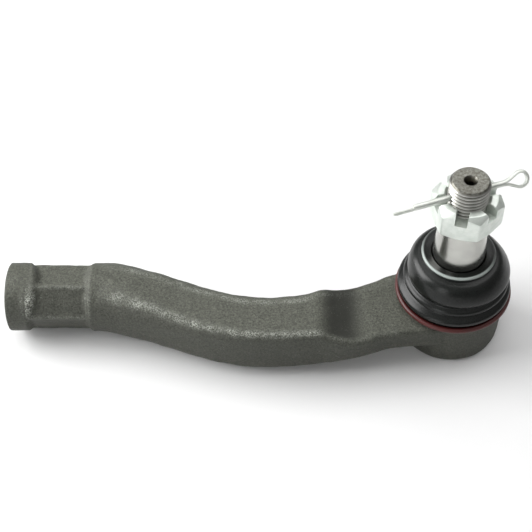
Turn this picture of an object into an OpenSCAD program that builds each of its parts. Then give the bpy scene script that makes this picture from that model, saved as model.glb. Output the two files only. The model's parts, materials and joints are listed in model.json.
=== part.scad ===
// Outer tie rod end: a forged arm with a threaded socket at one end and a ball joint at the
// other. The origin is the centre of the ball, +Z runs up the stud, and the socket lies
// towards -X. Millimetres.

/* [Threaded socket] */
// Distance from the ball's centre to the socket's end face
socket_reach = 163; // [160:0.5:168]
// Outside diameter of the round socket
socket_d = 25.4; // [24:0.2:26]
// Nominal diameter of the rod thread, modelled as a plain bore
rod_thread_d = 16; // [12:1:17]
// Depth of the threaded bore
rod_thread_depth = 40; // [25:1:42]
// Width across the flats of the wrench hexagon
wrench_af = 21; // [20:0.1:22]

/* [Ball housing] */
// Outside radius of the housing at its shoulder
housing_r = 19; // [18.8:0.1:19.8]
// Depth of the housing's floor below the ball's centre
housing_depth = 15.9; // [15.6:0.1:17]
// Height of the housing's mouth above the ball's centre
mouth_z = 9; // [8.5:0.1:9.4]
// Inside radius of the housing's mouth
mouth_r = 12.6; // [12.2:0.1:13]

/* [Ball stud] */
// Diameter of the ball
ball_d = 25; // [24:0.2:25.4]
// Diameter of the stud's neck above the ball
neck_d = 13; // [12:0.2:13.6]
// Nominal diameter of the stud's thread
stud_thread_d = 14; // [13:0.5:14.5]
// Height of the stud's tip above the ball's centre
stud_tip_z = 62; // [61:0.5:66]
// Diameter of the taper's large end
taper_large_d = 19; // [18.4:0.1:19.6]

/* [Nut and pin] */
// Width across the flats of the castle nut
nut_af = 22; // [20:0.5:23]
// Overall height of the castle nut
nut_h = 11; // [10.5:0.5:12]
// Width of the nut's slots
slot_w = 4.2; // [4:0.1:4.6]
// Turn of the nut about the stud, which aims its slots and the pin
nut_turn = -16; // [-20:1:0]
// Diameter of the cotter pin's closed legs
pin_d = 2.1; // [1.8:0.1:2.3]
// Reach of the cotter pin's long leg past the stud's axis
pin_leg_long = 26.6; // [22:0.2:30]

/* [Dust boot] */
// Diameter of the retaining ring's wire
ring_wire_d = 2; // [1.6:0.1:2.2]
// Thickness of the boot's rubber
boot_wall = 1.7; // [1.2:0.1:2]

/* [Hidden] */
$fn = 96;

steel_dark = [0.36, 0.37, 0.34];
steel_bright = [0.74, 0.74, 0.72];
zinc = [0.82, 0.86, 0.82];
rubber_black = [0.10, 0.11, 0.11];
ring_red = [0.45, 0.10, 0.09];
acetal_white = [0.92, 0.91, 0.87];

// The socket, measured along its own axis from the end face
socket_z = -2;
socket_inner_x = -127;
socket_length = socket_reach + socket_inner_x;
socket_r = socket_d / 2;
end_round = 1.2;
bore_r = rod_thread_d / 2;
bore_chamfer = 0.6;
drill_point_deg = 118;
wrench_start = 5.8;
wrench_end = 28.4;
wrench_ramp_outer = 2.2;
wrench_ramp_inner = 2.9;
wrench_roll_deg = -40;

// The housing's outside, its cavity and the plate that closes it
foot_round = 2.6;
wall_draft = 0.5;
edge_chamfer = 0.6;
shoulder_z = 4.1;
boot_seat_r = 17.6;
cavity_r = 15.2;
cavity_roof_z = 6.6;
mouth_chamfer = 1.2;
crimp_r = 15.2;
cap_r = 16.4;
cap_top_z = -13.1;
cap_thickness = 1.3;
cap_floor_z = cap_top_z - cap_thickness;
cap_dish = 0.5;
cap_dish_r = 7;
seal_wire_r = 0.4;

// The plastic bearing halves and the disc spring
seat_gap = 0.03;
seat_clear = 0.02;
seat_split_z = -0.2;
seat_split_gap = 0.4;
seat_top_z = 6.1;
seat_floor_z = -10.6;
seat_drain_r = 8;
spring_inner_r = 8.6;
spring_outer_r = 14.4;
spring_wall = 1;

// The stud, from the ball up
ball_r = ball_d / 2;
ball_flat_z = -11;
neck_r = neck_d / 2;
neck_top_z = 18;
taper_start_z = 22.5;
taper_end_z = 43.7;
taper_ratio = 1 / 8;
taper_large_r = taper_large_d / 2;
taper_small_r = taper_large_r - (taper_end_z - taper_start_z) * taper_ratio / 2;
thread_r = stud_thread_d / 2;
thread_chamfer = 1;
relief_r = thread_r - 1;
relief_h = 1.4;
centre_drill_r = 1.2;
centre_drill_depth = 5.8;

// The nut and the pin; the pin lies a little off the middle of one pair of slots
nut_z = 44;
nut_top_z = nut_z + nut_h;
nut_r = nut_af / 2 / cos(30);
nut_clear = 0.05;
nut_bore_chamfer = 0.9;
slot_floor_z = 50.5;
pin_z = 55.9;
pin_turn = nut_turn - 60 + 3.5;
pin_droop_deg = 3.2;
pin_roll_deg = 38;
pin_hole_r = 1.7;
pin_leg_short = pin_leg_long - 7.1;
pin_neck = 13.8;
pin_gap = 0.1;
pin_wire_r = pin_d / 4;
eye_r = 2.7;
eye_reach = 4.6;

// The boot and its retaining ring, outlines as [radius, height] from the bottom up
ring_z = 5.6;
groove_r = 19;
ring_r = groove_r + ring_wire_d / 2;
skirt_top = [18.2, 11.6];
bellows_top = [16.7, 21.5];
lip_bottom_z = 21.4;
neck_grip_r = taper_large_r + 0.05;
insert_r = 10.9;
insert_z = 22.4;
insert_wall = 0.8;
insert_h = 2.4;
SKIRT_OUT = [[groove_r, 4.3], [groove_r, 7.2], [19.9, 7.7], [20.3, 8.5], [20.2, 9.3],
    [19.5, 10.4], [18.6, 11.0], skirt_top];
BELLOWS_OUT = [skirt_top, [18.5, 12.3], [18.8, 13.1], [18.6, 13.9], [17.8, 14.4],
    [17.6, 15.2], [18.0, 16.0], [18.3, 17.0], [18.0, 18.6], [17.4, 20.1], bellows_top];
NECK_OUT = [bellows_top, [15.7, 22.8], [14.5, 23.7], [13.2, 24.1], [12.6, 24.4], [12.8, 25],
    [13.1, 25.6], [12.9, 26], [12.4, 26.2], [10.4, 26.2]];

// The forged arm between socket and housing, one row for each station along X:
// [x, front edge y, rear edge y, top z, bottom z, corner radius]. The arm bows towards -Y,
// then steps down to a thinner, wider neck where it meets the housing.
ARM_STATIONS = [
    [-129.5, -12.4, 12.4, 10.3, -14.3, 12.2],
    [-123, -13.5, 12.1, 10.6, -14.7, 11.6],
    [-110, -16.4, 7.4, 9.5, -13.7, 8.2],
    [-100, -19.5, 3.2, 8.7, -13.1, 6.2],
    [-88, -23.1, -1.6, 8.3, -12.8, 4.8],
    [-77, -25.0, -4.7, 8.2, -12.7, 3.9],
    [-66, -25.4, -5.7, 8.2, -12.6, 3.5],
    [-54, -24.9, -4.2, 8.2, -11.9, 3.5],
    [-48, -24.5, -2.0, 7.9, -10.9, 3.1],
    [-42, -24.8, -0.3, 5.8, -9.0, 2.8],
    [-36.5, -24.6, 1.4, 4.2, -7.3, 2.5],
    [-30, -22.8, 3.9, 3.9, -6.7, 2.4],
    [-24, -20.9, 7.0, 3.8, -6.4, 2.4],
    [-16, -19.6, 9.8, 3.8, -6.4, 2.4],
    [-8, -19.0, 11.5, 3.8, -6.4, 2.4],
    [-2, -18.2, 11.5, 3.6, -6.4, 2.4]
];
ARM_STEPS = 3;
CORNER_STEPS = 4;

// Point at t between p1 and p2 on the smooth curve through four points
function smooth_pass(p0, p1, p2, p3, t) =
    0.5 * (2 * p1 + (p2 - p0) * t + (2 * p0 - 5 * p1 + 4 * p2 - p3) * t * t
        + (3 * p1 - p0 - 3 * p2 + p3) * t * t * t);

// The arm's stations with ARM_STEPS smooth steps between each pair
function arm_rows(s, n) = [
    for (i = [0 : n - 2], k = [0 : ARM_STEPS - 1])
        smooth_pass(s[max(i - 1, 0)], s[i], s[i + 1], s[min(i + 2, n - 1)], k / ARM_STEPS),
    s[n - 1]
];

// One ring of points: a rectangle with rounded corners, in the plane x = s[0]
function arm_ring(s) = [
    for (q = [0 : 3], k = [0 : CORNER_STEPS])
        let (
            a = 90 * q + 90 * k / CORNER_STEPS,
            cy = (q == 0 || q == 3) ? s[2] - s[5] : s[1] + s[5],
            cz = (q < 2) ? s[3] - s[5] : s[4] + s[5]
        )
        [s[0], cy + s[5] * cos(a), cz + s[5] * sin(a)]
];

module arm() {
    rows = arm_rows(ARM_STATIONS, len(ARM_STATIONS));
    rings = [for (s = rows) arm_ring(s)];
    m = len(rings[0]);
    n = len(rings);
    points = [for (r = rings, p = r) p];
    sides = [
        for (i = [0 : n - 2], j = [0 : m - 1])
            let (a = i * m + j, b = i * m + (j + 1) % m)
            each [[a, b + m, b], [a, a + m, b + m]]
    ];
    start_face = [for (j = [0 : m - 1]) j];
    end_face = [for (j = [m - 1 : -1 : 0]) (n - 1) * m + j];
    polyhedron(points = points, faces = concat(sides, [start_face, end_face]), convexity = 4);
}

// Half of the section of a round bar whose lower corner is rounded
module bar_section(r, length, corner) {
    square([r - corner, length]);
    translate([0, corner]) square([r, length - corner]);
    translate([r - corner, corner]) intersection() {
        circle(r = corner);
        translate([-corner / 2, -corner]) square([2 * corner, 1.5 * corner]);
    }
}

// Puts a shape drawn up the Z axis along the socket's own axis, from the end face inwards
module along_socket() {
    translate([-socket_reach, 0, socket_z]) rotate([0, 90, 0]) children();
}

module socket_blank() {
    along_socket() rotate_extrude() bar_section(socket_r, socket_length, end_round);
}

// What a hexagonal wrench section keeps of the round socket, with sloping ends
module wrench_section() {
    flat_r = wrench_af / 2;
    far_r = socket_r + 1;
    past = wrench_end + 20;
    along_socket() {
        rotate([0, 0, wrench_roll_deg]) translate([0, 0, -1])
            cylinder(h = past, r = flat_r / cos(30), $fn = 6);
        rotate_extrude() polygon([
            [0, -1], [far_r, -1], [far_r, wrench_start - 1],
            [flat_r, wrench_start + wrench_ramp_outer], [flat_r, wrench_end - wrench_ramp_inner],
            [far_r, wrench_end + 1], [far_r, past], [0, past]
        ]);
    }
}

module socket_bore() {
    tip = bore_r / tan(drill_point_deg / 2);
    along_socket() rotate_extrude() polygon([
        [0, -1], [bore_r + bore_chamfer + 1, -1], [bore_r, bore_chamfer],
        [bore_r, rod_thread_depth], [0, rod_thread_depth + tip]
    ]);
}

// Outside of the ball housing: a drafted wall, a rounded foot and a seat for the boot
module housing_blank() {
    foot_r = housing_r - wall_draft;
    foot_top_z = foot_round - housing_depth;
    rotate_extrude() {
        translate([0, -housing_depth]) bar_section(foot_r, foot_round + 1, foot_round);
        polygon([
            [0, foot_top_z], [foot_r, foot_top_z], [housing_r, shoulder_z - edge_chamfer],
            [housing_r - edge_chamfer, shoulder_z], [boot_seat_r, shoulder_z],
            [boot_seat_r, mouth_z - edge_chamfer], [boot_seat_r - edge_chamfer, mouth_z],
            [0, mouth_z]
        ]);
    }
}

module housing_cavity() {
    chamfer_z = mouth_z - mouth_chamfer;
    rotate_extrude() polygon([
        [0, -housing_depth - 1], [crimp_r, -housing_depth - 1], [crimp_r, cap_floor_z],
        [cap_r, cap_floor_z], [cap_r, cap_top_z], [cavity_r, cap_top_z],
        [cavity_r, cavity_roof_z], [mouth_r, cavity_roof_z], [mouth_r, chamfer_z],
        [mouth_r + mouth_chamfer + 1, mouth_z + 1], [0, mouth_z + 1]
    ]);
}

module forged_body() {
    color(steel_dark) difference() {
        union() {
            intersection() {
                socket_blank();
                wrench_section();
            }
            arm();
            housing_blank();
        }
        socket_bore();
        housing_cavity();
    }
}

// A bearing ring between two heights, with a spherical inside that holds the ball
module bearing_ring(low_z, high_z) {
    difference() {
        translate([0, 0, low_z]) cylinder(h = high_z - low_z, r = cavity_r - seat_clear);
        sphere(r = ball_r + seat_gap);
    }
}

module upper_bearing() {
    color(acetal_white) bearing_ring(seat_split_z + seat_split_gap, seat_top_z);
}

module lower_bearing() {
    color(acetal_white) difference() {
        bearing_ring(seat_floor_z, seat_split_z);
        translate([0, 0, seat_floor_z - 1]) cylinder(h = 4, r = seat_drain_r);
    }
}

// A conical disc spring between the closing plate and the lower bearing
module preload_spring() {
    color(steel_bright) rotate_extrude() polygon([
        [spring_inner_r, seat_floor_z - spring_wall], [spring_inner_r, seat_floor_z],
        [spring_inner_r + spring_wall, seat_floor_z], [spring_outer_r, cap_top_z + spring_wall],
        [spring_outer_r, cap_top_z], [spring_outer_r - spring_wall, cap_top_z]
    ]);
}

// The plate that closes the housing under the ball, dished downwards in its middle
module end_cap() {
    rim_r = cap_dish_r + 3 * cap_dish;
    color(steel_dark) rotate_extrude() polygon([
        [0, cap_floor_z - cap_dish], [cap_dish_r, cap_floor_z - cap_dish], [rim_r, cap_floor_z],
        [cap_r, cap_floor_z], [cap_r, cap_top_z], [rim_r, cap_top_z],
        [cap_dish_r, cap_top_z - cap_dish], [0, cap_top_z - cap_dish]
    ]);
}

// A rubber ring that keeps the grease in above the closing plate
module cap_seal() {
    color(rubber_black) rotate_extrude()
        translate([cavity_r - seal_wire_r - seat_clear, cap_top_z + 1.5])
            circle(r = seal_wire_r, $fn = 32);
}

// Outline of the stud above the ball: neck, shoulder, taper, thread relief and thread
module stud_section() {
    ball_top_z = sqrt(ball_r * ball_r - neck_r * neck_r);
    thread_start_z = taper_end_z + relief_h;
    polygon([
        [0, 0], [neck_r, ball_top_z - 2], [neck_r, neck_top_z], [neck_r + 0.8, neck_top_z + 1.2],
        [taper_large_r, taper_start_z - 1.5], [taper_large_r, taper_start_z],
        [taper_small_r, taper_end_z], [relief_r, taper_end_z], [relief_r, thread_start_z],
        [thread_r, thread_start_z + thread_chamfer], [thread_r, stud_tip_z - thread_chamfer],
        [thread_r - thread_chamfer, stud_tip_z], [0, stud_tip_z]
    ]);
}

module ball_stud() {
    color(steel_bright) difference() {
        union() {
            difference() {
                sphere(r = ball_r);
                translate([0, 0, ball_flat_z - ball_r]) cube(2 * ball_r, center = true);
            }
            rotate_extrude() stud_section();
        }
        pin_line() cylinder(h = 40, r = pin_hole_r, center = true);
        translate([0, 0, stud_tip_z]) rotate_extrude() polygon([
            [0, -centre_drill_depth], [centre_drill_r, -centre_drill_depth + 0.8],
            [centre_drill_r, -1.8], [2 * centre_drill_r, 0.1], [0, 0.1]
        ]);
    }
}

// Rubber between an outer and an inner outline, each a list of [radius, height] from the
// bottom up
module rubber_band(outer, inner) {
    n = len(inner);
    rotate_extrude() polygon(concat(outer, [for (i = [1 : n]) inner[n - i]]));
}

module boot_skirt() {
    inner = [[boot_seat_r, SKIRT_OUT[0][1]], [boot_seat_r, mouth_z],
        [boot_seat_r - 0.4, mouth_z + 0.4], [skirt_top[0] - boot_wall, skirt_top[1] - 0.5],
        [skirt_top[0] - boot_wall, skirt_top[1]]];
    color(rubber_black) rubber_band(SKIRT_OUT, inner);
}

module boot_bellows() {
    inner = [for (p = BELLOWS_OUT) [p[0] - boot_wall, p[1]]];
    color(rubber_black) rubber_band(BELLOWS_OUT, inner);
}

module boot_neck() {
    inner = [[bellows_top[0] - boot_wall, bellows_top[1]], [13.6, lip_bottom_z + 0.3],
        [11.8, lip_bottom_z], [neck_grip_r, lip_bottom_z], [neck_grip_r, lip_bottom_z + 4]];
    color(rubber_black) difference() {
        rubber_band(NECK_OUT, inner);
        insert_ring(0.01);
    }
}

// The steel ring moulded into the boot's lip, grown by gap on every side
module insert_ring(gap) {
    rotate_extrude() translate([insert_r - gap, insert_z - gap])
        square([insert_wall + 2 * gap, insert_h + 2 * gap]);
}

module boot_neck_insert() {
    color(steel_bright) insert_ring(0);
}

module boot_base_ring() {
    color(ring_red) rotate_extrude() translate([ring_r, ring_z]) circle(r = ring_wire_d / 2, $fn = 48);
}

// The nut's hole, with a chamfer at each end
module nut_bore() {
    r = thread_r + nut_clear;
    mouth = r + nut_bore_chamfer + 1;
    rotate_extrude() polygon([
        [0, nut_z - 1], [mouth, nut_z - 1], [r, nut_z + nut_bore_chamfer],
        [r, nut_top_z - nut_bore_chamfer], [mouth, nut_top_z + 1], [0, nut_top_z + 1]
    ]);
}

// Two cones, foot to foot, that trim the hexagon's corners, more at the top than at the foot
module nut_trim() {
    rim_r = nut_r + 0.9;
    rotate_extrude() polygon([
        [0, nut_z], [nut_r - 1.8, nut_z], [rim_r, nut_z + 1.5], [rim_r, nut_top_z - 2],
        [nut_r - 2.6, nut_top_z], [0, nut_top_z]
    ]);
}

module castle_nut() {
    color(zinc) difference() {
        intersection() {
            translate([0, 0, nut_z]) rotate([0, 0, nut_turn]) cylinder(h = nut_h, r = nut_r, $fn = 6);
            nut_trim();
        }
        nut_bore();
        for (k = [0 : 2])
            translate([0, 0, slot_floor_z]) rotate([0, 0, nut_turn + 60 * k])
                translate([-slot_w / 2, -nut_af, 0]) cube([slot_w, 2 * nut_af, nut_h]);
    }
}

// Puts a shape drawn up the Z axis along the cotter pin, legs towards +Z, eye towards -Z
module pin_line() {
    translate([0, 0, pin_z]) rotate([0, 0, pin_turn]) rotate([90 + pin_droop_deg, 0, 0])
        rotate([0, 0, pin_roll_deg]) children();
}

// One half-round leg on the +Y side of the pin's split, from the neck out to its tip
module pin_leg(tip) {
    intersection() {
        translate([0, 0, -pin_neck]) cylinder(h = pin_neck + tip, r = pin_d / 2, $fn = 48);
        translate([-pin_d, pin_gap / 2, -pin_neck - 1])
            cube([2 * pin_d, pin_d, pin_neck + tip + 2]);
    }
}

// The eye: a round loop, and the two straight wires that leave it at a tangent for the legs
module pin_eye() {
    leg_y = pin_wire_r + pin_gap / 2;
    reach = sqrt(eye_reach * eye_reach + leg_y * leg_y);
    open_deg = acos(eye_r / reach) + atan(leg_y / eye_reach);
    lead = sqrt(reach * reach - eye_r * eye_r);
    weld = 0.1;
    translate([0, 0, -pin_neck - eye_reach]) rotate([0, 90, 0]) rotate([0, 0, 180 + open_deg])
        rotate_extrude(angle = 360 - 2 * open_deg) translate([eye_r, 0])
            circle(r = pin_wire_r, $fn = 32);
    for (side = [-1, 1])
        translate([0, side * leg_y, -pin_neck]) rotate([side * (90 - open_deg), 0, 0])
            translate([0, 0, -lead - weld]) cylinder(h = lead + 2 * weld, r = 0.95 * pin_wire_r, $fn = 32);
}

module cotter_pin() {
    color(zinc) pin_line() {
        pin_leg(pin_leg_long);
        mirror([0, 1, 0]) pin_leg(pin_leg_short);
        pin_eye();
    }
}

forged_body();
upper_bearing();
lower_bearing();
preload_spring();
end_cap();
cap_seal();
ball_stud();
boot_skirt();
boot_bellows();
boot_neck();
boot_neck_insert();
boot_base_ring();
castle_nut();
cotter_pin();
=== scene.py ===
"""Outer tie rod end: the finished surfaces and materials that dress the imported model.

Every size below is in millimetres and every angle in degrees; `MM` turns them into metres when
a mesh is made. The origin is the centre of the ball, +Z runs up the stud and the threaded socket
lies towards -X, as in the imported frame.
"""

import json
import logging
import math
from dataclasses import dataclass, field
from enum import Enum

import bmesh
import bpy
import numpy as np
from mathutils import Matrix, Vector


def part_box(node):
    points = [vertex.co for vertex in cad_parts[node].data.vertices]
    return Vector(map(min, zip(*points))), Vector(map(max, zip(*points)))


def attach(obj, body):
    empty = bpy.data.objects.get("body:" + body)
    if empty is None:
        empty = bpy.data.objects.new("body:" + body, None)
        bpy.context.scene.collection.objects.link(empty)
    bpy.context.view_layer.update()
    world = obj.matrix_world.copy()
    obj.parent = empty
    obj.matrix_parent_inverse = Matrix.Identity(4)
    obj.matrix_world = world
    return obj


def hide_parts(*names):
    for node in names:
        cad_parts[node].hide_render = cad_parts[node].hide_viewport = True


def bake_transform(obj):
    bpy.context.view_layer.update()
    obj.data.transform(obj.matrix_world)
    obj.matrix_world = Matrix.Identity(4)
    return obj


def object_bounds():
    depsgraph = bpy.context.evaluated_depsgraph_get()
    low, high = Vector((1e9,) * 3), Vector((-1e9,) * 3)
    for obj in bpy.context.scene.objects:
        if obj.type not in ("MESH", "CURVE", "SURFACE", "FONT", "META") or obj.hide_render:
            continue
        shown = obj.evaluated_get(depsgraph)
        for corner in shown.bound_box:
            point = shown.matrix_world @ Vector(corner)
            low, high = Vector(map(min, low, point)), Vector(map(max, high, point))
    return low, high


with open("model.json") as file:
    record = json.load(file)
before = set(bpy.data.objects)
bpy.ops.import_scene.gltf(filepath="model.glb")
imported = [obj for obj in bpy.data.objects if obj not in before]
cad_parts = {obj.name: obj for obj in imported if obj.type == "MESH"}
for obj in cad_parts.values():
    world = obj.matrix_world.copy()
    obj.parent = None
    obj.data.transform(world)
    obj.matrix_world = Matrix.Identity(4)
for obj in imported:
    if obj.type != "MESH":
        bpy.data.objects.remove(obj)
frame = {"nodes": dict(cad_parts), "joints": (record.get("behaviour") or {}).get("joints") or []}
CAD_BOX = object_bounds()

MM = 0.001
FULL_TURN = 2.0 * math.pi
PIN_HEIGHT = 55.9
LOG = logging.getLogger("tie_rod_end")


# --- places read from the frame


def node_span(node: str, axis: int) -> tuple[float, float]:
    """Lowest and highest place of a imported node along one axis.

    Args:
        node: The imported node's name.
        axis: 0, 1 or 2 for X, Y or Z.

    Returns:
        The two places in millimetres.
    """
    low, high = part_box(node)
    return low[axis] / MM, high[axis] / MM


def joint_axis(name: str) -> np.ndarray:
    """The unit axis of one of the record's joints."""
    found = next(j for j in frame["joints"] if j["name"] == name)
    axis = np.array(found["axis"], float)
    return axis / np.linalg.norm(axis)


# --- numpy surfaces


def round_corners(points: np.ndarray, radius: np.ndarray | float, steps: int = 5) -> np.ndarray:
    """Rounds the corners of open polylines.

    Each corner is replaced by the quadratic curve (1-s)^2 A + 2 s (1-s) P + s^2 B, where P is the
    corner and A and B lie on its two sides, a radius away from it or at most 0.45 of the side.

    Args:
        points: Polylines of shape (..., n, 2).
        radius: One radius, or one for each of the n - 2 inner corners.
        steps: Points that each corner becomes.

    Returns:
        Polylines of shape (..., 2 + (n - 2) * steps, 2).
    """
    corner = points[..., 1:-1, :]
    before = points[..., :-2, :] - corner
    after = points[..., 2:, :] - corner
    reach = np.broadcast_to(np.asarray(radius, float), corner.shape[:-1])[..., None]

    def side_point(side: np.ndarray) -> np.ndarray:
        """The point on one side of the corner where its curve begins."""
        length = np.linalg.norm(side, axis=-1, keepdims=True)
        share = np.minimum(reach / np.maximum(length, 1e-9), 0.45)
        return corner + side * share

    start, end = side_point(before)[..., None, :], side_point(after)[..., None, :]
    s = np.linspace(0.0, 1.0, steps)[:, None]
    middle = corner[..., None, :]
    curve = (1 - s) ** 2 * start + 2 * s * (1 - s) * middle + s**2 * end
    curve = curve.reshape(*curve.shape[:-3], -1, 2)
    return np.concatenate([points[..., :1, :], curve, points[..., -1:, :]], axis=-2)


def subdivide(points: np.ndarray, longest: float) -> np.ndarray:
    """Adds points along a polyline of shape (n, 2), so that no side is longer than longest."""
    length = np.linalg.norm(np.diff(points, axis=0), axis=1)
    counts = np.maximum(np.ceil(length / longest).astype(int), 1)
    knots = np.arange(len(points), dtype=float)
    stops = np.repeat(knots[:-1], counts)
    first = np.repeat(np.cumsum(counts) - counts, counts)
    share = (np.arange(len(stops)) - first) / np.repeat(counts, counts)
    where = np.append(stops + share, knots[-1])
    return np.stack([np.interp(where, knots, points[:, k]) for k in (0, 1)], axis=1)


def grid_quads(rows: int, columns: int, start: int = 0) -> np.ndarray:
    """Quads of a grid of points whose columns close on themselves.

    Args:
        rows: Number of rings of points.
        columns: Points in each ring.
        start: Index of the grid's first point.

    Returns:
        Indices of shape ((rows - 1) * columns, 4).
    """
    here = start + np.arange(rows * columns).reshape(rows, columns)
    beside = np.roll(here, -1, axis=1)
    quads = np.stack([here[:-1], beside[:-1], beside[1:], here[1:]], axis=-1)
    return quads.reshape(-1, 4)


def full_circle(columns: int) -> np.ndarray:
    """Angles spread evenly over a full turn, in radians."""
    return np.arange(columns) / columns * FULL_TURN


def rings_about_z(radius: np.ndarray, height: np.ndarray, turn: np.ndarray) -> np.ndarray:
    """Rings of points (r cos t, r sin t, h) about the Z axis, one for each row."""
    return np.stack([radius * np.cos(turn), radius * np.sin(turn), height + 0 * turn], axis=-1)


def rings_about_x(along: np.ndarray, radius: np.ndarray, turn: np.ndarray,
                  y: np.ndarray | float, z: np.ndarray | float) -> np.ndarray:
    """Rings of points (x, y + r cos t, z + r sin t) about a line along X, one for each row."""
    return np.stack([along + 0 * turn, y + radius * np.cos(turn), z + radius * np.sin(turn)], axis=-1)


def closing_ring(ring: np.ndarray) -> np.ndarray:
    """A ring shrunk to its own middle, which closes a surface there."""
    return np.broadcast_to(ring.mean(axis=0), ring.shape)[None]


def ripple(points: np.ndarray, size: float, seed: int, waves: int = 9) -> np.ndarray:
    """Smooth random height between about -1 and 1: a sum of plane sine waves.

    Args:
        points: Places of shape (..., 3), in millimetres.
        size: Typical width of a bump, in millimetres.
        seed: Seed of the waves' directions and phases.
        waves: How many waves are added.

    Returns:
        A height for each point.
    """
    rng = np.random.default_rng(seed)
    direction = rng.normal(size=(waves, 3))
    direction /= np.linalg.norm(direction, axis=1, keepdims=True)
    pitch = FULL_TURN / (2.0 * size) * rng.uniform(0.6, 1.5, waves)
    phase = rng.uniform(0.0, FULL_TURN, waves)
    return np.sin((points @ direction.T) * pitch + phase).sum(axis=-1) / math.sqrt(waves)


def soft_min(a: np.ndarray, b: np.ndarray, blend: float) -> np.ndarray:
    """The smaller of a and b, rounded over a width of blend where they cross."""
    h = np.clip(0.5 + 0.5 * (b - a) / blend, 0.0, 1.0)
    return b + (a - b) * h - blend * h * (1.0 - h)


def soft_max(a: np.ndarray, b: np.ndarray, blend: float) -> np.ndarray:
    """The larger of a and b, rounded over a width of blend where they cross."""
    return -soft_min(-a, -b, blend)


def ease(low: float, high: float, value: np.ndarray) -> np.ndarray:
    """Rises smoothly from 0 at low to 1 at high, as 3 t^2 - 2 t^3."""
    t = np.clip((value - low) / (high - low), 0.0, 1.0)
    return t * t * (3.0 - 2.0 * t)


def hexagon_radius(angle: np.ndarray, across_flats: float, sharpness: float) -> np.ndarray:
    """Distance from a hexagon's centre to its side, with rounded corners.

    The radius is half the width across the flats over the p-norm of the cosines of the angles
    to the six flats; a larger p, the sharpness, gives tighter corners.
    """
    flats = angle[..., None] - np.radians(30.0 + 60.0 * np.arange(6))
    towards = np.maximum(np.cos(flats), 0.0)
    return 0.5 * across_flats / (towards**sharpness).sum(axis=-1) ** (1.0 / sharpness)


def box_radius(angle: np.ndarray, half: tuple[np.ndarray, np.ndarray], corner: np.ndarray) -> np.ndarray:
    """Distance from a rectangle's centre to its side along a ray, with round corners.

    The ray meets the side wall, the top wall, or the corner's circle about (half - corner),
    whichever stands in its way.

    Args:
        angle: The ray's angle, from the first half-width towards the second.
        half: The two half-widths.
        corner: Radius of the corners.

    Returns:
        The distance for each ray.
    """
    c, s = np.abs(np.cos(angle)), np.abs(np.sin(angle))
    a, b = half
    corner = np.minimum(corner, np.minimum(a, b) - 1e-3)
    to_side = a / np.maximum(c, 1e-9)
    to_top = b / np.maximum(s, 1e-9)
    ma, mb = a - corner, b - corner
    along = c * ma + s * mb
    to_corner = along + np.sqrt(np.maximum(along**2 - ma**2 - mb**2 + corner**2, 0.0))
    return np.where(to_side * s <= mb, to_side, np.where(to_top * c <= ma, to_top, to_corner))


def thread_flank(turns: np.ndarray, flat: float = 0.16) -> np.ndarray:
    """Height of a screw thread's flank from 0 at the root to 1 at the crest.

    The flank is a triangle wave of the turns with its tips cut flat.
    """
    wave = np.abs(2.0 * (turns - np.floor(turns)) - 1.0)
    return np.clip((wave - flat) / (1.0 - 2.0 * flat), 0.0, 1.0)


# --- meshes and objects


@dataclass(frozen=True)
class Shell:
    """One closed surface: its points in millimetres and its quads."""

    points: np.ndarray
    quads: np.ndarray

    @classmethod
    def from_rings(cls, rings: np.ndarray) -> "Shell":
        """A surface through rings of points of shape (rows, columns, 3)."""
        rows, columns, _ = rings.shape
        return cls(rings.reshape(-1, 3), grid_quads(rows, columns))

    @classmethod
    def turned(cls, profile: np.ndarray, columns: int) -> "Shell":
        """A surface of revolution about Z from a profile of [radius, height] points."""
        return cls.from_rings(rings_about_z(profile[:, :1], profile[:, 1:], full_circle(columns)))

    @classmethod
    def turned_loop(cls, profile: np.ndarray, columns: int) -> "Shell":
        """A surface of revolution about Z from a closed profile that stays off the axis."""
        return cls.turned(np.vstack([profile, profile[:1]]), columns)


def make_object(name: str, shells: list[Shell], sharp_deg: float = 35.0) -> bpy.types.Object:
    """Makes a mesh object from closed shells, with merged doubles and outward faces.

    Args:
        name: The object's name.
        shells: The surfaces it is made of.
        sharp_deg: Edges that turn by more than this stay sharp.

    Returns:
        The new object, linked to the scene.
    """
    starts = np.cumsum([0] + [len(s.points) for s in shells])
    points = np.vstack([s.points for s in shells]) * MM
    quads = np.vstack([s.quads + start for s, start in zip(shells, starts)])
    mesh = bpy.data.meshes.new(name)
    mesh.from_pydata(points.tolist(), [], quads.tolist())
    tidy_mesh(mesh)
    finish_shading(mesh, sharp_deg)
    made = bpy.data.objects.new(name, mesh)
    bpy.context.scene.collection.objects.link(made)
    return made


def tidy_mesh(mesh: bpy.types.Mesh) -> None:
    """Merges doubles, drops faces without area and turns every face outwards."""
    work = bmesh.new()
    work.from_mesh(mesh)
    bmesh.ops.remove_doubles(work, verts=work.verts, dist=1e-6)
    bmesh.ops.dissolve_degenerate(work, edges=work.edges, dist=1e-7)
    bmesh.ops.recalc_face_normals(work, faces=work.faces)
    work.to_mesh(mesh)
    work.free()


def finish_shading(mesh: bpy.types.Mesh, sharp_deg: float) -> None:
    """Shades a mesh smooth except over edges that turn by more than sharp_deg."""
    mesh.shade_smooth()
    mesh.set_sharp_from_angle(angle=math.radians(sharp_deg))
    mesh.update()


class Cut(Enum):
    """The two ways that one solid changes another."""

    JOIN = "UNION"
    REMOVE = "DIFFERENCE"


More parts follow.
